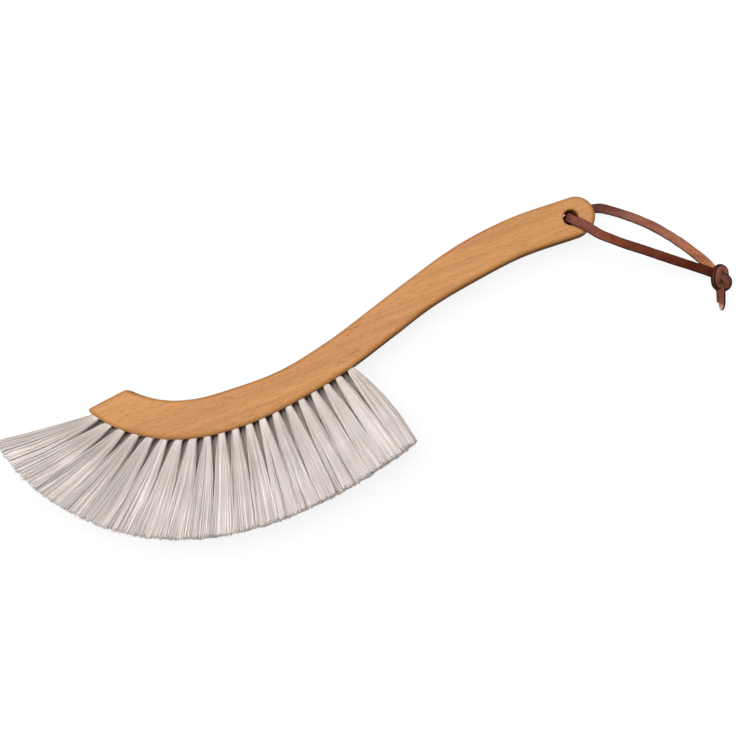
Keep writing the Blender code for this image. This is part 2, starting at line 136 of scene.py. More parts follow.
# Glossy rays meet the dim table, so that the lower edge of the board stays dark.
ray = shade(tree, "LightPath", {})
shown = shade(tree, "Math", {
    0: ray.outputs["Is Camera Ray"], 1: ray.outputs["Is Transmission Ray"],
}, operation="MAXIMUM")
matt = shade(tree, "BsdfDiffuse", {"Color": TABLE_COLOUR})
white = shade(tree, "Emission", {"Color": (1.0, 1.0, 1.0, 1.0), "Strength": 1.0})
bright = shade(tree, "MixShader", {
    0: TABLE_SHOWN_WHITE, 1: matt.outputs[0], 2: white.outputs[0],
})
dim = shade(tree, "BsdfDiffuse", {"Color": TABLE_BOUNCE})
both = shade(tree, "MixShader", {
    0: shown.outputs[0], 1: dim.outputs[0], 2: bright.outputs[0],
})
shade(tree, "OutputMaterial", {"Surface": both.outputs[0]})

bm = bmesh.new()
bmesh.ops.create_grid(bm, x_segments=1, y_segments=1, size=TABLE_SIZE / 2)
table = place_mesh("table", bm)
table.data.materials.append(table_top)


# The handle: one piece of beech, sawn from plank to a long S and planed on both faces. Its
# edges are rounded over, the head ends in a slanting saw cut, and the grip has a drilled hole
# for the thong. Two rows of blind holes along the lower edge take the tufts.
SPINE_RUN = 0.2625
SPINE_RISE = 0.1124
HEAD_DEPTH = 0.0214
WAIST_DEPTH = 0.0194
GRIP_DEPTH = 0.0218
EDGE_ROUND = 0.0026
EDGE_ROUND_STEPS = 7
HEAD_CORNER_ROUND = 0.0014
HEAD_CORNER_STEPS = 8
HEAD_CORNER_CLEARANCE = 2.0 * EDGE_ROUND
FLAT_FACE_SLOPE = 0.999
FLAT_FACE_INSET = 0.0006
SHARP_ANGLE = math.radians(30.0)
# Each station of the spine: its shares of the run and the rise, and the board's depth there.
SPINE_SHARES = (
    (0.000, 0.128, HEAD_DEPTH),
    (0.035, 0.072, HEAD_DEPTH),
    (0.094, 0.020, HEAD_DEPTH),
    (0.152, 0.000, HEAD_DEPTH),
    (0.210, 0.010, HEAD_DEPTH),
    (0.293, 0.063, HEAD_DEPTH),
    (0.395, 0.163, WAIST_DEPTH),
    (0.501, 0.314, WAIST_DEPTH),
    (0.600, 0.489, WAIST_DEPTH),
    (0.675, 0.624, WAIST_DEPTH),
    (0.777, 0.780, GRIP_DEPTH),
    (0.870, 0.893, GRIP_DEPTH),
    (1.000, 1.000, GRIP_DEPTH),
)
SPINE_STEPS = 9
END_CUT_RUN_SHARE = -0.015
END_CUT_RISE_SHARE = 0.059
END_CUT_SLOPE = math.radians(27.6)
GRIP_END_STEPS = 36
THONG_HOLE_DIAMETER = 0.0084
THONG_HOLE_FROM_END = 0.0138
THONG_HOLE_RIM = 0.0012
THONG_HOLE_SIDES = 48
RIM_STEPS = 6
OVERRUN = 0.003
MERGE_GAP = 0.00001

board_low, board_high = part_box("handle")
BOARD_THICKNESS = board_high.z - board_low.z


def smooth_curve(points, steps):
    """Return a smooth curve through points, with the same steps to each span."""
    points = [Vector(point) for point in points]
    spans = [(b - a).length for a, b in zip(points, points[1:])]
    slopes = [(b - a) / span for a, b, span in zip(points, points[1:], spans)]
    tangents = [slopes[0]]
    for before, after, left, right in zip(slopes, slopes[1:], spans, spans[1:]):
        tangents.append((before * right + after * left) / (left + right))
    tangents.append(slopes[-1])
    curve = []
    for index, span in enumerate(spans):
        for step in range(steps):
            t = step / steps
            start = points[index] * (2 * t**3 - 3 * t**2 + 1)
            end = points[index + 1] * (3 * t**2 - 2 * t**3)
            leave = tangents[index] * span * (t**3 - 2 * t**2 + t)
            arrive = tangents[index + 1] * span * (t**3 - t**2)
            curve.append(start + end + leave + arrive)
    curve.append(points[-1])
    return curve


def directions(line):
    """Return the direction of a line at each of its points."""
    ends = [line[0], *line, line[-1]]
    return [(after - before).normalized() for before, after in zip(ends, ends[2:])]


stations = [(run * SPINE_RUN, rise * SPINE_RISE, depth) for run, rise, depth in SPINE_SHARES]
spine = smooth_curve(stations, SPINE_STEPS)
spine_depths = [point.z for point in spine]
spine = [Vector((point.x, point.y, 0.0)) for point in spine]
spine_headings = directions(spine)
hole_in_board = spine[-1] + spine_headings[-1] * (GRIP_DEPTH / 2 - THONG_HOLE_FROM_END)
hinge = Vector(frame["joints"][0]["pos_m"])
board_place = Vector((hinge.x, hinge.y, (board_low.z + board_high.z) / 2)) - hole_in_board


def sawn_edge(side):
    """Return the upper (side 1) or lower (side -1) edge from the saw cut to the grip."""
    line = []
    for point, heading, depth in zip(spine, spine_headings, spine_depths):
        line.append(point + Vector((-heading.y, heading.x, 0.0)) * side * depth / 2)
    place = Vector((END_CUT_RUN_SHARE * SPINE_RUN, END_CUT_RISE_SHARE * SPINE_RISE, 0.0))
    outward = Vector((-math.sin(END_CUT_SLOPE), math.cos(END_CUT_SLOPE), 0.0))
    heights = [(point - place).dot(outward) for point in line]
    first = next(index for index, height in enumerate(heights) if height < 0.0)
    if first == 0:
        return line
    share = heights[first - 1] / (heights[first - 1] - heights[first])
    return [line[first - 1].lerp(line[first], share), *line[first:]]


lower_edge = sawn_edge(-1)
upper_edge = sawn_edge(1)
grip_end = []
for step in range(1, GRIP_END_STEPS):
    turn = Matrix.Rotation(math.pi * (step / GRIP_END_STEPS - 0.5), 3, "Z")
    grip_end.append(spine[-1] + turn @ spine_headings[-1] * GRIP_DEPTH / 2)

bm = bmesh.new()
lines = []
for line in (lower_edge, upper_edge):
    clear = [point for point in line if (point - line[0]).length > HEAD_CORNER_CLEARANCE]
    lines.append([line[0], *clear])
outline = lines[0] + grip_end + lines[1][::-1]
verts = [bm.verts.new(point) for point in outline]
bm.faces.new(verts)
tip = verts[0].co.copy()
bmesh.ops.bevel(
    bm, geom=[verts[-1]], offset=HEAD_CORNER_ROUND, segments=HEAD_CORNER_STEPS,
    profile=0.5, affect="VERTICES", material=-1,
)
bmesh.ops.translate(bm, verts=bm.verts[:], vec=(0.0, 0.0, -BOARD_THICKNESS / 2))
extruded = bmesh.ops.extrude_face_region(bm, geom=bm.faces[:])
top = [part for part in extruded["geom"] if isinstance(part, bmesh.types.BMVert)]
bmesh.ops.translate(bm, verts=top, vec=(0.0, 0.0, BOARD_THICKNESS))
bmesh.ops.recalc_face_normals(bm, faces=bm.faces[:])
rims = [edge for edge in bm.edges if edge.verts[0].co.z == edge.verts[1].co.z]
upright = min(
    set(bm.edges) - set(rims), key=lambda edge: (edge.verts[0].co - tip).xy.length
)
bmesh.ops.bevel(
    bm, geom=[*rims, upright], offset=EDGE_ROUND, segments=EDGE_ROUND_STEPS, profile=0.5,
    affect="EDGES", material=-1,
)
planed = [face for face in bm.faces if abs(face.normal.z) > FLAT_FACE_SLOPE]
bmesh.ops.inset_region(bm, faces=planed, thickness=FLAT_FACE_INSET, use_even_offset=True)
bmesh.ops.translate(bm, verts=bm.verts[:], vec=board_place)
handle = place_mesh("beech_handle", bm)


def bore(item, name, bm):
    """Cut a closed shape out of an object, and keep the cut mesh."""
    bmesh.ops.recalc_face_normals(bm, faces=bm.faces[:])
    drill = place_mesh(name, bm)
    modifier = item.modifiers.new(name, "BOOLEAN")
    modifier.operation = "DIFFERENCE"
    modifier.object = drill
    bpy.context.view_layer.update()
    graph = bpy.context.evaluated_depsgraph_get()
    cut = bpy.data.meshes.new_from_object(item.evaluated_get(graph))
    item.modifiers.clear()
    item.data = cut
    bpy.data.objects.remove(drill)


hole_radius = THONG_HOLE_DIAMETER / 2
half = BOARD_THICKNESS / 2
quarter = []
for step in range(RIM_STEPS + 1):
    turn = math.pi / 2 * step / RIM_STEPS
    quarter.append((
        hole_radius + THONG_HOLE_RIM * (1.0 - math.sin(turn)),
        half - THONG_HOLE_RIM * (1.0 - math.cos(turn)),
    ))
quarter = [(0.0, half + OVERRUN), (quarter[0][0], half + OVERRUN), *quarter]
profile = quarter + [(reach, -height) for reach, height in quarter[::-1]]
middle = board_place + hole_in_board
bm = bmesh.new()
verts = [bm.verts.new(middle + Vector((reach, 0.0, height))) for reach, height in profile]
edges = [bm.edges.new(pair) for pair in zip(verts, verts[1:])]
bmesh.ops.spin(
    bm, geom=verts + edges, cent=middle, axis=(0.0, 0.0, 1.0), angle=2 * math.pi,
    steps=THONG_HOLE_SIDES, use_merge=True,
)
bmesh.ops.remove_doubles(bm, verts=bm.verts[:], dist=MERGE_GAP)
bore(handle, "thong_drill", bm)


def ramp(tree, share, stops):
    """Turn a share into a colour by these stops, each a place and a colour."""
    made = shade(tree, "ValToRGB", {"Fac": share})
    elements = made.color_ramp.elements
    while len(elements) < len(stops):
        elements.new(0.5)
    for element, (place, colour) in zip(elements, stops):
        element.position = place
        element.color = (*colour, 1.0)
    return made.outputs["Color"]


def stretched(tree, vector, along, across, deep):
    """Scale a pattern's space, given in repeats to the metre along and across it."""
    made = shade(tree, "Mapping", {"Vector": vector, "Scale": (along, across, deep)})
    return made.outputs["Vector"]


def cloudy(tree, vector, detail, roughness=0.5, distortion=0.0):
    """Return a soft random pattern of one repeat to a unit of its space."""
    made = shade(tree, "TexNoise", {
        "Vector": vector, "Scale": 1.0, "Detail": detail, "Roughness": roughness,
        "Distortion": distortion,
    })
    return made.outputs["Fac"]


def stained(tree, colour, stain, share=1.0):
    """Multiply a colour by a stain, at this share of its strength."""
    made = shade(tree, "Mix", {0: share, 6: colour, 7: stain}, data_type="RGBA",
                 blend_type="MULTIPLY")
    return made.outputs[2]


def graded(tree, value, low, high, start=0.0, end=1.0, curve="LINEAR"):
    """Take a value from between low and high to between start and end."""
    made = shade(tree, "MapRange", {
        "Value": value, "From Min": low, "From Max": high, "To Min": start, "To Max": end,
    }, interpolation_type=curve)
    return made.outputs["Result"]


GRAIN_TURN = (0.05, 0.03, math.radians(-21.0))
DRIFT_REPEATS = (9.0, 40.0, 40.0)
YEAR_REPEATS = (7.0, 330.0, 120.0)
FIBRE_REPEATS = (90.0, 2600.0, 2600.0)
FLECK_REPEATS = (330.0, 2300.0, 1500.0)
FLECK_SHARE = 0.8
FIBRE_RELIEF_SHARE = 0.5
PATTERN_SPAN = (0.3, 0.7)
BEECH_SPECULAR = 0.22
BEECH_ROUGHNESS = (0.54, 0.42)
BEECH_RELIEF = 0.25
BEECH_RELIEF_DEPTH = 0.0002

beech = bpy.data.materials.new("oiled_beech")
beech.use_nodes = True
tree = beech.node_tree
wood = tree.nodes["Principled BSDF"]
wood.inputs["Specular IOR Level"].default_value = BEECH_SPECULAR
place = shade(tree, "TexCoord", {}).outputs["Object"]
plank = shade(tree, "Mapping", {"Vector": place, "Rotation": GRAIN_TURN}).outputs["Vector"]
drift = cloudy(tree, stretched(tree, plank, *DRIFT_REPEATS), detail=2.0)
years = cloudy(
    tree, stretched(tree, plank, *YEAR_REPEATS), detail=3.0, roughness=0.55, distortion=0.3,
)
fibre = cloudy(tree, stretched(tree, plank, *FIBRE_REPEATS), detail=3.0, roughness=0.6)
fleck = cloudy(tree, stretched(tree, plank, *FLECK_REPEATS), detail=1.0, roughness=0.4)
tint = ramp(tree, drift, (
    (0.30, (0.468, 0.216, 0.070)),
    (0.50, (0.455, 0.206, 0.064)),
    (0.62, (0.465, 0.202, 0.074)),
    (0.75, (0.430, 0.194, 0.057)),
))
band = ramp(tree, years, (
    (0.36, (0.89, 0.85, 0.81)),
    (0.52, (1.00, 1.00, 1.00)),
    (0.66, (1.05, 1.04, 1.02)),
))
thread = ramp(tree, fibre, (
    (0.30, (0.86, 0.82, 0.76)),
    (0.50, (1.00, 1.00, 1.00)),
    (0.70, (1.06, 1.06, 1.05)),
))
dash = ramp(tree, fleck, (
    (0.60, (1.00, 1.00, 1.00)),
    (0.70, (0.66, 0.56, 0.46)),
))
colour = stained(tree, stained(tree, tint, band), thread)
colour = stained(tree, colour, dash, FLECK_SHARE)
tree.links.new(colour, wood.inputs["Base Color"])
sheen = graded(tree, fibre, *PATTERN_SPAN, *BEECH_ROUGHNESS)
tree.links.new(sheen, wood.inputs["Roughness"])
relief = shade(tree, "Math", {0: fibre, 1: FIBRE_RELIEF_SHARE, 2: years},
               operation="MULTIPLY_ADD")
bump = shade(tree, "Bump", {
    "Height": relief.outputs[0], "Strength": BEECH_RELIEF, "Distance": BEECH_RELIEF_DEPTH,
})
tree.links.new(bump.outputs["Normal"], wood.inputs["Normal"])
handle.data.materials.clear()
handle.data.materials.append(beech)


# The tufts: bundles of pale goat hair, each folded over a wire and pulled into its blind hole.
# The front row has twenty and the back row nineteen, set between the front ones. The hair
# leaves each hole as a tight round bundle, fans out and is trimmed to a long arc.
TUFT_COUNT = 20
TUFT_PITCH = 0.0079
FIRST_TUFT_INSET = 0.0066
ROW_SPACING = 0.0088
ROW_SPLAY = math.radians(4.4)
TUFT_DIAMETER = 0.0038
HOLE_CLEARANCE = 0.0003
HOLE_DEPTH = 0.0075
HOLE_SIDES = 24
LONGEST_TUFT = 0.0553
SHORTEST_TUFT = 0.0535
LONGEST_TUFT_SHARE = 0.45
FAN_START = math.radians(-157.5)
FAN_END = math.radians(-52.5)
FAN_EVEN_SHARE = 0.35
FAN_BIAS = 2.2
LEAN_SHARE = 0.5
ROOT_SINK = 0.0012


def walk_along(line, distance):
    """Return the point and the direction at a distance along a line."""
    for start, end in zip(line, line[1:]):
        span = (end - start).length
        if distance <= span:
            break
        distance -= span
    direction = (end - start).normalized()
    return start + direction * distance, direction


def fan_turn(position):
    """Return the heading of the hair, which turns faster towards the head's tip."""
    left = 1.0 - position / (TUFT_COUNT - 1)
    biased = math.copysign(abs(left) ** FAN_BIAS, left)
    return FAN_END + (FAN_START - FAN_END) * (
        FAN_EVEN_SHARE * left + (1.0 - FAN_EVEN_SHARE) * biased
    )


def tuft_place(row, position):
    """Return the mouth, drilling axis and hair axis of one tuft."""
    mouth, along = walk_along(lower_edge, FIRST_TUFT_INSET + position * TUFT_PITCH)
    mouth = mouth + board_place + Vector((0.0, 0.0, row * ROW_SPACING / 2))
    square = math.atan2(-along.x, along.y)
    fan = fan_turn(position)
    drill = square + (fan - square) * LEAN_SHARE
    flat = math.cos(ROW_SPLAY)
    rise = row * math.sin(ROW_SPLAY)
    drill_axis = Vector((math.cos(drill) * flat, math.sin(drill) * flat, rise))
    hair_axis = Vector((math.cos(fan) * flat, math.sin(fan) * flat, rise))
    return mouth, drill_axis, hair_axis


def tuft_length(position):
    """Return the free length of a tuft, longest left of the middle of the head."""
    share = position / (TUFT_COUNT - 1)
    reach = share - LONGEST_TUFT_SHARE
    end = LONGEST_TUFT_SHARE if reach < 0.0 else 1.0 - LONGEST_TUFT_SHARE
    return LONGEST_TUFT - (LONGEST_TUFT - SHORTEST_TUFT) * (reach / end) ** 2


def cross_axes(axis):
    """Return the two directions across an axis, along the edge and away from the board."""
    side = axis.cross(Vector((0.0, 0.0, 1.0))).normalized()
    return side, side.cross(axis)


rows = ((1, "front_tuft", TUFT_COUNT, 0.0), (-1, "back_tuft", TUFT_COUNT - 1, 0.5))
tufts = []
for row, row_name, count, offset in rows:
    for index in range(count):
        tufts.append((f"{row_name}_{index + 1:02d}", row, index + offset))

bm = bmesh.new()
for name, row, position in tufts:
    mouth, drill_axis, _ = tuft_place(row, position)
    side, up = cross_axes(drill_axis)
    turn = Matrix((side, up, -drill_axis)).transposed().to_4x4()
    bmesh.ops.create_cone(
        bm, cap_ends=True, segments=HOLE_SIDES, radius1=TUFT_DIAMETER / 2 + HOLE_CLEARANCE,
        radius2=TUFT_DIAMETER / 2 + HOLE_CLEARANCE, depth=HOLE_DEPTH + OVERRUN,
        matrix=Matrix.Translation(mouth + drill_axis * (OVERRUN - HOLE_DEPTH) / 2) @ turn,
    )
bore(handle, "tuft_drill", bm)
handle.data.shade_smooth()
handle.data.set_sharp_from_angle(angle=SHARP_ANGLE)
handle.modifiers.new("even_faces", "WEIGHTED_NORMAL").keep_sharp = True
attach(handle, "brush")
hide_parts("handle")

HAIR_SPECULAR = 0.30
HAIR_ROUGHNESS = (0.80, 0.60)
HAIR_GLOW_SHARE = 0.26
PATCH_REPEATS = (60.0, 60.0, 60.0)

goat_hair = bpy.data.materials.new("goat_hair")
goat_hair.use_nodes = True
tree = goat_hair.node_tree
hair = tree.nodes["Principled BSDF"]
hair.inputs["Specular IOR Level"].default_value = HAIR_SPECULAR
tone = shade(tree, "Attribute", {}, attribute_name="tone").outputs["Fac"]
along = shade(tree, "Attribute", {}, attribute_name="along").outputs["Fac"]
place = shade(tree, "TexCoord", {}).outputs["Object"]
cloud = cloudy(tree, stretched(tree, place, *PATCH_REPEATS), detail=2.0)
coat = ramp(tree, tone, (
    (0.00, (0.870, 0.775, 0.712)),
    (0.30, (0.955, 0.880, 0.828)),
    (0.65, (0.975, 0.912, 0.868)),
    (1.00, (0.988, 0.940, 0.903)),
))
# Painted shade: the hair darkens to near black at its roots. This stands in for the shade in
# the holes and under the board's edge.
painted_root_shade = ramp(tree, along, (
    (0.00, (0.05, 0.04, 0.035)),
    (0.06, (0.20, 0.17, 0.15)),
    (0.14, (0.66, 0.61, 0.58)),
    (0.24, (0.94, 0.92, 0.90)),
    (0.60, (1.00, 1.00, 1.00)),
))
patch = ramp(tree, cloud, (
    (0.35, (0.94, 0.93, 0.92)),
    (0.65, (1.03, 1.02, 1.02)),
))
colour = stained(tree, stained(tree, coat, painted_root_shade), patch)
tree.links.new(colour, hair.inputs["Base Color"])
tree.links.new(graded(tree, tone, 0.0, 1.0, *HAIR_ROUGHNESS), hair.inputs["Roughness"])
glow = shade(tree, "BsdfTranslucent", {"Color": colour})
fine = shade(tree, "MixShader", {
    0: HAIR_GLOW_SHARE, 1: hair.outputs[0], 2: glow.outputs[0],
})
tree.links.new(fine.outputs[0], tree.nodes["Material Output"].inputs["Surface"])

HAIR_ROWS = 16
# Each step of a hair: the share of its length, and its width there to that of its root.
HAIR_STEPS = (
    (0.07, 0.95),
    (0.22, 1.10),
    (0.42, 1.40),
    (0.68, 1.75),
    (0.98, 1.95),
    (1.00, 1.60),
)
TIP_WIDTH_SHARE = 1.02
TIP_OUTER_HEIGHT = 0.0054
TIP_INNER_HEIGHT = 0.0078
FAN_OUT_SHARE = 0.60
BACK_FAN_OUT_SHARE = 0.90
BACK_ROOT_FILL_SHARE = 0.8
BACK_ROOT_RADIUS = TUFT_DIAMETER / 2 + BACK_ROOT_FILL_SHARE * HOLE_CLEARANCE
# Where each row's hairs start on the painted root shade: the front row's roots stay light, and
# the back row's are darker, darkest at a tuft's flanks.
FRONT_PAINTED_SHADE_START = 0.27
BACK_PAINTED_SHADE_START = 0.20
PLUG_TONE = 0.3
MIDDLE_TONE = 0.5
LOCKS = 20
LOCK_PULL = (0.05, 0.22)
CELL_JITTER = 0.05
HAIR_WAVE = 0.00016
LOCK_WAVE = 0.00020
LOCK_TONE = 0.10
HAIR_TONE = 0.12
TRIM_SPREAD = 0.0005
TRIM_LEAN = 0.03
SHORT_HAIR = 0.0018
SHORT_HAIR_RARITY = 4
END_TUFT = 18.0
END_BOW = 0.0012
HAIR_LEAN_SHARE = 0.6
FLOOR_GAP = 0.0001


def tuft_tip(row, position):
    """Return the middle of a tuft's trimmed end."""
    mouth, _, hair_axis = tuft_place(row, position)
    return mouth + hair_axis * tuft_length(position)


def make_tuft(name, row, position, seed):
    """Grow a tuft: a packed plug whose small cells are each drawn out into one hair."""
    rng = random.Random(seed)
    mouth, drill_axis, hair_axis = tuft_place(row, position)
    side, up = cross_axes(drill_axis)
    hair_side, hair_up = cross_axes(hair_axis)
    middle_tip = tuft_tip(row, position)
    left_tip = tuft_tip(row, position - 0.5) - middle_tip
    right_tip = tuft_tip(row, position + 0.5) - middle_tip
    outermost = max(position - END_TUFT, 0.0) * END_BOW
    plate = mouth - drill_axis * ROOT_SINK
    fan_out = FAN_OUT_SHARE if row > 0 else BACK_FAN_OUT_SHARE
    radius = TUFT_DIAMETER / 2 if row > 0 else BACK_ROOT_RADIUS

    bm = bmesh.new()
    tone = bm.verts.layers.float.new("tone")
    along = bm.verts.layers.float.new("along")
    bmesh.ops.create_grid(bm, x_segments=HAIR_ROWS, y_segments=HAIR_ROWS, size=1.0)
    bmesh.ops.triangulate(bm, faces=bm.faces[:])
    bm.faces.ensure_lookup_table()
    cells = [face.calc_center_median() for face in bm.faces]
    for vert in bm.verts:
        x, y, _ = vert.co
        across = x * math.sqrt(1.0 - y * y / 2) * radius
        above = y * math.sqrt(1.0 - x * x / 2) * radius
        vert.co = plate + side * across + up * above
        vert[tone] = PLUG_TONE
        vert[along] = FRONT_PAINTED_SHADE_START if row > 0 else 0.0
    rim = [edge for edge in bm.edges if edge.is_boundary]
    faces = bm.faces[:]
    root = bmesh.ops.extrude_edge_only(bm, edges=rim)["geom"]
    root_verts = [part for part in root if isinstance(part, bmesh.types.BMVert)]
    root_edges = [part for part in root if isinstance(part, bmesh.types.BMEdge)]
    depth = HOLE_DEPTH - HOLE_CLEARANCE - ROOT_SINK
    bmesh.ops.translate(bm, verts=root_verts, vec=-drill_axis * depth)
    bmesh.ops.edgeloop_fill(bm, edges=root_edges)

    locks = []
    for _ in range(LOCKS):
        centre = Vector((rng.uniform(-1.0, 1.0), rng.uniform(-1.0, 1.0), 0.0))
        locks.append((
            centre, rng.uniform(*LOCK_PULL), rng.gauss(0.0, TRIM_SPREAD / 2),
            rng.uniform(-LOCK_WAVE, LOCK_WAVE), rng.uniform(-LOCK_WAVE, LOCK_WAVE),
            rng.uniform(-LOCK_TONE, LOCK_TONE),
        ))

    hairs = []
    for face, cell in zip(faces, cells):
        lock = min(locks, key=lambda lock: (lock[0] - cell).length)
        centre, pull, longer, bow_side, bow_up, shade_shift = lock
        spot = cell.lerp(centre, pull)
        spot.x += rng.gauss(0.0, CELL_JITTER)
        spot.y += rng.gauss(0.0, CELL_JITTER)
        trim = longer + rng.gauss(0.0, TRIM_SPREAD)
        trim -= SHORT_HAIR * rng.random() ** SHORT_HAIR_RARITY
        height = TIP_INNER_HEIGHT if spot.y * row < 0.0 else TIP_OUTER_HEIGHT
        offset = (left_tip if spot.x > 0.0 else right_tip) * abs(spot.x) * TIP_WIDTH_SHARE
        offset = offset + hair_up * spot.y * height
        start = face.calc_center_median()
        tip = middle_tip + hair_axis * trim + offset
        tip += hair_axis * (tip.z - board_place.z) * TRIM_LEAN
        lean = drill_axis.lerp(hair_axis, HAIR_LEAN_SHARE)
        bend = start + lean * (middle_tip - mouth).length / 2 + offset * fan_out
        wave_side = bow_side + rng.gauss(0.0, HAIR_WAVE) - outermost * (1.0 - spot.x)
        wave_up = bow_up + rng.gauss(0.0, HAIR_WAVE)
        mark = MIDDLE_TONE + shade_shift + rng.gauss(0.0, HAIR_TONE)
        mark = min(max(mark, 0.0), 1.0)
        # Painted shade: a back-row hair starts darker at the root the nearer it lies to the
        # tuft's flanks.
        painted_shade_start = FRONT_PAINTED_SHADE_START if row > 0 else BACK_PAINTED_SHADE_START * (1.0 - cell.x * cell.x)
        hairs.append((start, bend, tip, wave_side, wave_up, mark, painted_shade_start))

    width_before = 1.0
    for share, width in HAIR_STEPS:
        faces = bmesh.ops.extrude_discrete_faces(bm, faces=faces)["faces"]
        for face, (start, bend, tip, wave_side, wave_up, mark, painted_shade_start) in zip(faces, hairs):
            point = start * (1 - share) ** 2 + bend * 2 * share * (1 - share) + tip * share**2
            swing = 4 * share * (1 - share)
            point += (hair_side * wave_side + hair_up * wave_up) * swing
            centre = face.calc_center_median()
            for vert in face.verts:
                vert.co = point + (vert.co - centre) * (width / width_before)
                vert.co.z = max(vert.co.z, FLOOR_GAP)
                vert[tone] = mark
                vert[along] = max(share, painted_shade_start)
        width_before = width
    bmesh.ops.recalc_face_normals(bm, faces=bm.faces[:])
    tuft = place_mesh(name, bm)
    tuft.data.shade_smooth()
    tuft.data.materials.append(goat_hair)
    return tuft


for seed, (name, row, position) in enumerate(tufts):
    tuft = make_tuft(f"hair_{name}", row, position, seed)
    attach(tuft, "brush")
    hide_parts(name)


# The thong: one flat leather lace, doubled through the hole, with both legs tied together in
# an overhand knot. The bight bends loosely through the hole, with the grain side outward, so
# the front leg shows its grain side and the back leg its paler flesh side.
LACE_WIDTH = 0.0052
LACE_THICKNESS = 0.0023
LACE_STEPS = 8
LACE_LENGTH = 0.196
LACE_SIDES = 24
LACE_SQUARENESS = 0.42
LACE_SHARP_ANGLE = math.radians(50.0)
SIDE_SMOOTHING = 12
WIDTH_WANDER = 0.05
WIDTH_WANDERS_PER_METRE = 110.0
EDGE_WANDER = 0.00012
EDGE_WANDERS_PER_METRE = 420.0
EDGE_WANDER_SIDES = 3.0
# The legs are given from the hinge's axis. The bight turns about it: each stop has its reach
# from the axis, its place to the side, its turn in degrees and its height.
FRONT_LEG_ROUTE = (
    (0.0069, -0.0044, 0.02362),
    (0.0109, -0.0068, 0.02362),
    (0.0156, -0.0096, 0.02350),
    (0.0223, -0.0122, 0.02290),
    (0.0292, -0.0144, 0.02100),
    (0.0363, -0.0162, 0.01840),
    (0.0434, -0.0180, 0.01560),
    (0.0506, -0.0199, 0.01280),
    (0.0577, -0.0218, 0.01040),
    (0.0648, -0.0238, 0.00860),
    (0.0718, -0.0258, 0.00720),
    (0.0800, -0.0284, 0.00620),
)
BACK_LEG_ROUTE = (
    (0.0071, 0.0038, 0.00258),
    (0.0110, 0.0061, 0.00258),
    (0.0150, 0.0078, 0.00255),
    (0.0192, 0.0081, 0.00250),
    (0.0259, 0.0066, 0.00225),
    (0.0327, 0.0046, 0.00190),
    (0.0395, 0.0022, 0.00160),
    (0.0463, -0.0007, 0.00150),
    (0.0530, -0.0041, 0.00150),
    (0.0597, -0.0082, 0.00155),
    (0.0663, -0.0128, 0.00190),
    (0.0729, -0.0180, 0.00250),
    (0.0798, -0.0242, 0.00320),
)
BIGHT_ROUTE = (
    (0.00500, -0.00060, -30.0, 0.02362),
    (0.00330, -0.00090, -29.5, 0.02361),
    (0.00170, -0.00105, -29.0, 0.02335),
    (0.00040, -0.00100, -28.0, 0.02260),
    (-0.00060, -0.00070, -26.0, 0.02140),
    (-0.00120, -0.00030, -22.0, 0.01970),
    (-0.00140, 0.0, -12.0, 0.01650),
    (-0.00140, 0.0, 0.0, 0.01310),
    (-0.00140, 0.0, 12.0, 0.00970),
    (-0.00110, 0.0, 20.0, 0.00680),
    (-0.00020, 0.0, 24.0, 0.00470),
    (0.00110, 0.0, 26.0, 0.00340),
    (0.00270, 0.0, 27.4, 0.00272),
    (0.00450, 0.0, 28.0, 0.00258),
)
FRONT_TUCK = (0.0822, -0.0292, 0.0056)
BACK_TUCK = (0.0818, -0.0268, 0.0036)

HIDE_SPECULAR = 0.12
HIDE_ROUGHNESS = (0.62, 0.42)
HIDE_RELIEF = 0.35
HIDE_RELIEF_DEPTH = 0.0002
BLOTCH_REPEATS = (90.0, 0.7, 1.0)
NAP_REPEATS = (500.0, 5.0, 3.0)
FLESH_SIDE_SPAN = (-0.2, 0.2)
CUT_EDGE_SPAN = (0.87, 1.02)
CUT_EDGE_NAP = 0.10
CUT_EDGE_COLOUR = (0.030, 0.008, 0.006, 1.0)

leather = bpy.data.materials.new("brown_leather")
leather.use_nodes = True
tree = leather.node_tree
hide = tree.nodes["Principled BSDF"]
hide.inputs["Specular IOR Level"].default_value = HIDE_SPECULAR
across = shade(tree, "Attribute", {}, attribute_name="across").outputs["Fac"]
above = shade(tree, "Attribute", {}, attribute_name="above").outputs["Fac"]
along = shade(tree, "Attribute", {}, attribute_name="along").outputs["Fac"]
strip = shade(tree, "CombineXYZ", {"X": along, "Y": across, "Z": above}).outputs["Vector"]
blotch = cloudy(tree, stretched(tree, strip, *BLOTCH_REPEATS), detail=3.0, roughness=0.55)
nap = cloudy(tree, stretched(tree, strip, *NAP_REPEATS), detail=3.0, roughness=0.65)
place = graded(tree, along, 0.0, LACE_LENGTH)
grain_side = ramp(tree, place, (
    (0.00, (0.058, 0.009, 0.003)),
    (0.07, (0.072, 0.012, 0.004)),
    (0.18, (0.134, 0.031, 0.016)),
    (0.30, (0.160, 0.038, 0.017)),
    # Painted sheen: this lighter, pinker stop lies where the front leg leaves the hole.
    (0.42, (0.176, 0.052, 0.034)),
    (0.50, (0.130, 0.038, 0.022)),
    (1.00, (0.170, 0.050, 0.028)),
))
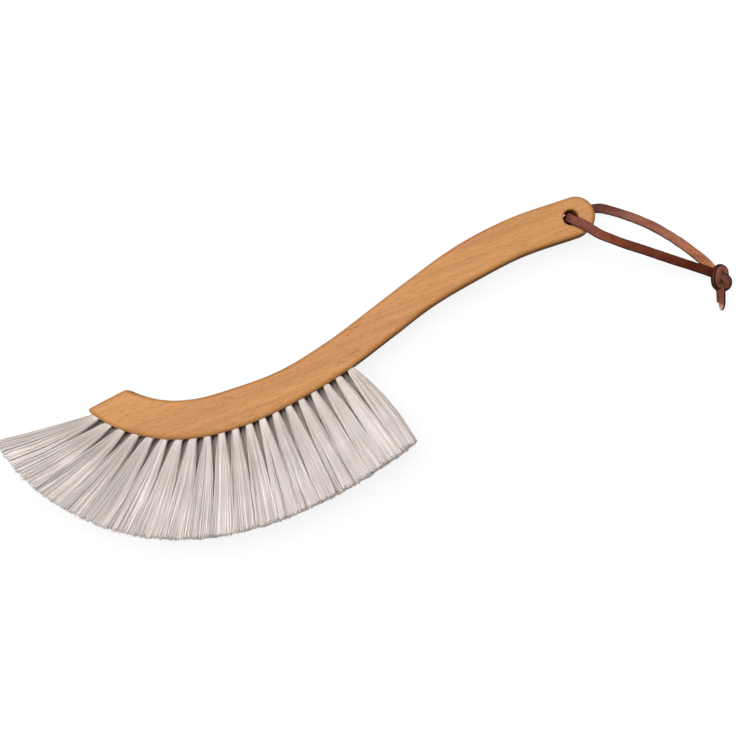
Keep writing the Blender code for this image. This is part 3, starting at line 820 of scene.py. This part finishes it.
# The first tenth is for the tails, up to the painted highlight on the cut end. The front leg
# lies on its own there.
flesh_side = ramp(tree, place, (
    (0.000, (0.100, 0.030, 0.026)),
    (0.045, (0.150, 0.045, 0.026)),
    (0.062, (0.190, 0.066, 0.042)),
    (0.070, (0.420, 0.230, 0.155)),
    (0.080, (0.620, 0.460, 0.340)),
    (0.100, (0.070, 0.022, 0.013)),
    # From 0.58 on is the back leg. Its darkest stops lie next to the handle, and they are
    # partly painted shadow of the handle.
    (0.580, (0.070, 0.022, 0.013)),
    (0.660, (0.095, 0.031, 0.018)),
    (0.750, (0.220, 0.080, 0.052)),
    (0.860, (0.280, 0.098, 0.058)),
    (1.000, (0.340, 0.118, 0.054)),
))
turned = graded(tree, above, *FLESH_SIDE_SPAN, curve="SMOOTHSTEP")
colour = shade(tree, "Mix", {0: turned, 6: grain_side, 7: flesh_side}, data_type="RGBA")
colour = colour.outputs[2]
blotches = ramp(tree, blotch, (
    (0.32, (0.74, 0.68, 0.66)),
    (0.50, (1.00, 1.00, 1.00)),
    (0.68, (1.22, 1.24, 1.22)),
))
pores = ramp(tree, nap, (
    (0.34, (0.70, 0.64, 0.60)),
    (0.52, (1.00, 1.00, 1.00)),
    (0.70, (1.14, 1.12, 1.10)),
))
colour = stained(tree, stained(tree, colour, blotches), pores)
rim = shade(tree, "Math", {0: across}, operation="ABSOLUTE")
rim = shade(tree, "Math", {0: nap, 1: CUT_EDGE_NAP, 2: rim.outputs[0]},
            operation="MULTIPLY_ADD")
rim = graded(tree, rim.outputs[0], *CUT_EDGE_SPAN, curve="SMOOTHSTEP")
colour = shade(tree, "Mix", {0: rim, 6: colour, 7: CUT_EDGE_COLOUR}, data_type="RGBA")
tree.links.new(colour.outputs[2], hide.inputs["Base Color"])
shine = graded(tree, nap, *PATTERN_SPAN, *HIDE_ROUGHNESS)
tree.links.new(shine, hide.inputs["Roughness"])
bump = shade(tree, "Bump", {
    "Height": nap, "Strength": HIDE_RELIEF, "Distance": HIDE_RELIEF_DEPTH,
})
tree.links.new(bump.outputs["Normal"], hide.inputs["Normal"])


def lace_frames(line, sides, widths, thickness, start):
    """Return for each point of a line its lace section: place, axes, half sizes, distance."""
    frames = []
    distance = start
    before = line[0]
    for point, direction, side, width in zip(line, directions(line), sides, widths):
        distance += (point - before).length
        before = point
        above_axis = direction.cross(side).normalized()
        across_axis = above_axis.cross(direction)
        frames.append((point, across_axis, above_axis, width / 2, thickness / 2, distance))
    return frames


def sweep_lace(bm, frames):
    """Draw a lace through its frames, with rounded edges that wander a little."""
    across = bm.verts.layers.float.get("across") or bm.verts.layers.float.new("across")
    above = bm.verts.layers.float.get("above") or bm.verts.layers.float.new("above")
    along = bm.verts.layers.float.get("along") or bm.verts.layers.float.new("along")
    corner = bm.verts.layers.int.get("corner") or bm.verts.layers.int.new("corner")
    ring = bmesh.ops.create_circle(bm, segments=LACE_SIDES, radius=1.0)["verts"]
    for index, vert in enumerate(ring):
        vert[corner] = index
    edges = list({edge for vert in ring for edge in vert.link_edges})
    first_edges = edges
    for number, (place, across_axis, above_axis, width, height, distance) in enumerate(frames):
        if number:
            made = bmesh.ops.extrude_edge_only(bm, edges=edges)["geom"]
            ring = [part for part in made if isinstance(part, bmesh.types.BMVert)]
            edges = [part for part in made if isinstance(part, bmesh.types.BMEdge)]
            edges = [edge for edge in edges if edge.verts[0] in ring and edge.verts[1] in ring]
        wander = noise.noise(place * WIDTH_WANDERS_PER_METRE)
        for vert in ring:
            angle = 2 * math.pi * vert[corner] / LACE_SIDES
            x = math.copysign(abs(math.cos(angle)) ** LACE_SQUARENESS, math.cos(angle))
            y = math.copysign(abs(math.sin(angle)) ** LACE_SQUARENESS, math.sin(angle))
            vert[across] = x
            vert[above] = y
            vert[along] = distance
            spot = place * EDGE_WANDERS_PER_METRE + Vector((x, y, 0.0)) * EDGE_WANDER_SIDES
            edge = noise.noise(spot) * EDGE_WANDER
            reach = x * (width * (1.0 + WIDTH_WANDER * wander) + edge)
            vert.co = place + across_axis * reach + above_axis * y * height
    bmesh.ops.edgeloop_fill(bm, edges=first_edges)
    bmesh.ops.edgeloop_fill(bm, edges=edges)


def finish_lace(name, node, bm):
    """Set a lace's normals, put it in the scene as leather, and hang it on the thong."""
    bmesh.ops.recalc_face_normals(bm, faces=bm.faces[:])
    for vert in bm.verts:
        vert.co.z = max(vert.co.z, FLOOR_GAP)
    piece = place_mesh(name, bm)
    piece.data.shade_smooth()
    piece.data.set_sharp_from_angle(angle=LACE_SHARP_ANGLE)
    piece.data.materials.append(leather)
    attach(piece, "thong")
    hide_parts(node)
    return piece


def from_hinge(points):
    """Return points that are given from the hinge's axis as places in the scene."""
    return [Vector((hinge.x + x, hinge.y + y, z)) for x, y, z in points]


stations = []
for point in from_hinge((FRONT_TUCK, *FRONT_LEG_ROUTE[::-1])):
    stations.append((point, None))
for reach, aside, turn, height in BIGHT_ROUTE:
    turn = math.radians(turn)
    spot = Matrix.Rotation(turn, 3, "Z") @ Vector((reach, aside, height))
    stations.append((from_hinge((spot,))[0], turn))
for point in from_hinge((*BACK_LEG_ROUTE, BACK_TUCK)):
    stations.append((point, None))
lace_line = smooth_curve([point for point, _ in stations], LACE_STEPS)
middle_station = len(FRONT_LEG_ROUTE) + 1 + len(BIGHT_ROUTE) // 2
turns = []
for index, direction in enumerate(directions(lace_line)):
    station, step = divmod(index, LACE_STEPS)
    turn = stations[station][1]
    following = stations[min(station + 1, len(stations) - 1)][1]
    if turn is None or following is None:
        outward = direction if station >= middle_station else -direction
        turns.append(math.atan2(outward.y, outward.x))
    else:
        turns.append(turn + (following - turn) * step / LACE_STEPS)
for _ in range(SIDE_SMOOTHING):
    inner = [(a + 2 * b + c) / 4 for a, b, c in zip(turns, turns[1:], turns[2:])]
    turns = [turns[0], *inner, turns[-1]]
lace_sides = [Vector((-math.sin(turn), math.cos(turn), 0.0)) for turn in turns]
lace_widths = [LACE_WIDTH] * len(lace_line)
whole_lace = lace_frames(lace_line, lace_sides, lace_widths, LACE_THICKNESS, 0.0)
bight_start = len(FRONT_LEG_ROUTE) * LACE_STEPS
bight_end = (len(FRONT_LEG_ROUTE) + 1 + len(BIGHT_ROUTE)) * LACE_STEPS

for name, node, part in (
    ("lace_bight", "thong_bight", whole_lace[bight_start:bight_end + 1]),
    ("lace_front_leg", "thong_front_leg", whole_lace[:bight_start + 1]),
    ("lace_back_leg", "thong_back_leg", whole_lace[bight_end:]),
):
    bm = bmesh.new()
    sweep_lace(bm, part)
    finish_lace(name, node, bm)


# The knot: both legs together make one overhand knot, drawn tight. The two laces lie on each
# other all the way round, so a second edge shows beside each turn.
KNOT_ROUTE = (
    (0.0809, -0.0282, 0.0048),
    (0.0832, -0.0294, 0.0038),
    (0.0857, -0.0304, 0.0045),
    (0.0881, -0.0313, 0.0059),
    (0.0898, -0.0332, 0.0057),
    (0.0895, -0.0356, 0.0038),
    (0.0871, -0.0366, 0.0028),
    (0.0845, -0.0356, 0.0035),
    (0.0832, -0.0333, 0.0053),
    (0.0831, -0.0302, 0.0069),
    (0.0840, -0.0274, 0.0064),
    (0.0862, -0.0262, 0.0050),
    (0.0884, -0.0276, 0.0035),
    (0.0887, -0.0304, 0.0028),
    (0.0875, -0.0333, 0.0044),
)
KNOT_LACE_WIDTH = 0.0043
KNOT_LACE_THICKNESS = 0.0021
KNOT_STEPS = 6
KNOT_TINT_START = 0.124
KNOT_ROLLS = (10.0, 24.0, 30.0, 26.0, 20.0)


def spread(values, count):
    """Return this count of numbers, which run through the values at an even pace."""
    spans = len(values) - 1
    numbers = []
    for index in range(count):
        share = index / (count - 1) * spans
        low = min(int(share), spans - 1)
        numbers.append(values[low] + (values[low + 1] - values[low]) * (share - low))
    return numbers


def rolled_sides(line, rolls):
    """Return the directions across a level lace that is rolled by these degrees."""
    sides = []
    for direction, roll in zip(directions(line), spread(rolls, len(line))):
        side = Vector((0.0, 0.0, 1.0)).cross(direction).normalized()
        side.rotate(Matrix.Rotation(math.radians(roll), 3, direction))
        sides.append(side)
    return sides


knot_line = smooth_curve(from_hinge(KNOT_ROUTE), KNOT_STEPS)
knot_sides = rolled_sides(knot_line, KNOT_ROLLS)
knot_widths = [KNOT_LACE_WIDTH] * len(knot_line)
bm = bmesh.new()
for layer in (1, -1):
    line = []
    for point, direction, side in zip(knot_line, directions(knot_line), knot_sides):
        line.append(point + direction.cross(side) * layer * KNOT_LACE_THICKNESS / 2)
    sweep_lace(bm, lace_frames(
        line, knot_sides, knot_widths, KNOT_LACE_THICKNESS, KNOT_TINT_START,
    ))
knot = finish_lace("lace_knot", "thong_knot", bm)


# The two tails: the lace's own ends, one longer than the other. They come out of the knot on
# top of each other, and the longer one ends in a slanting cut, painted pale as a highlight
# where the cut end catches the light.
# Each stop of a tail: its place from the hinge's axis, its width, and its roll in degrees.
TAILS = (
    ("lace_front_tail", "thong_front_tail", (
        (0.0872, -0.0340, 0.00300, 0.0040, 30.0),
        (0.0868, -0.0364, 0.00380, 0.0040, 34.0),
        (0.0866, -0.0390, 0.00460, 0.0040, 40.0),
        (0.0866, -0.0414, 0.00500, 0.0040, 44.0),
        (0.0866, -0.0438, 0.00510, 0.0039, 46.0),
        (0.0866, -0.0460, 0.00520, 0.0036, 44.0),
        (0.0865, -0.0480, 0.00525, 0.0029, 40.0),
        (0.0862, -0.0496, 0.00530, 0.0012, 38.0),
    )),
    ("lace_back_tail", "thong_back_tail", (
        (0.0868, -0.0338, 0.00260, 0.0042, 30.0),
        (0.0863, -0.0360, 0.00300, 0.0042, 40.0),
        (0.0859, -0.0388, 0.00330, 0.0042, 50.0),
        (0.0858, -0.0415, 0.00340, 0.0040, 56.0),
        (0.0857, -0.0437, 0.00340, 0.0035, 58.0),
        (0.0857, -0.0453, 0.00340, 0.0026, 58.0),
    )),
)
TAIL_STEPS = 5
TAIL_TINT_START = 0.0

for name, node, route in TAILS:
    line = smooth_curve(from_hinge([stop[:3] for stop in route]), TAIL_STEPS)
    sides = rolled_sides(line, [stop[4] for stop in route])
    widths = spread([stop[3] for stop in route], len(line))
    bm = bmesh.new()
    sweep_lace(bm, lace_frames(line, sides, widths, KNOT_LACE_THICKNESS, TAIL_TINT_START))
    finish_lace(name, node, bm)
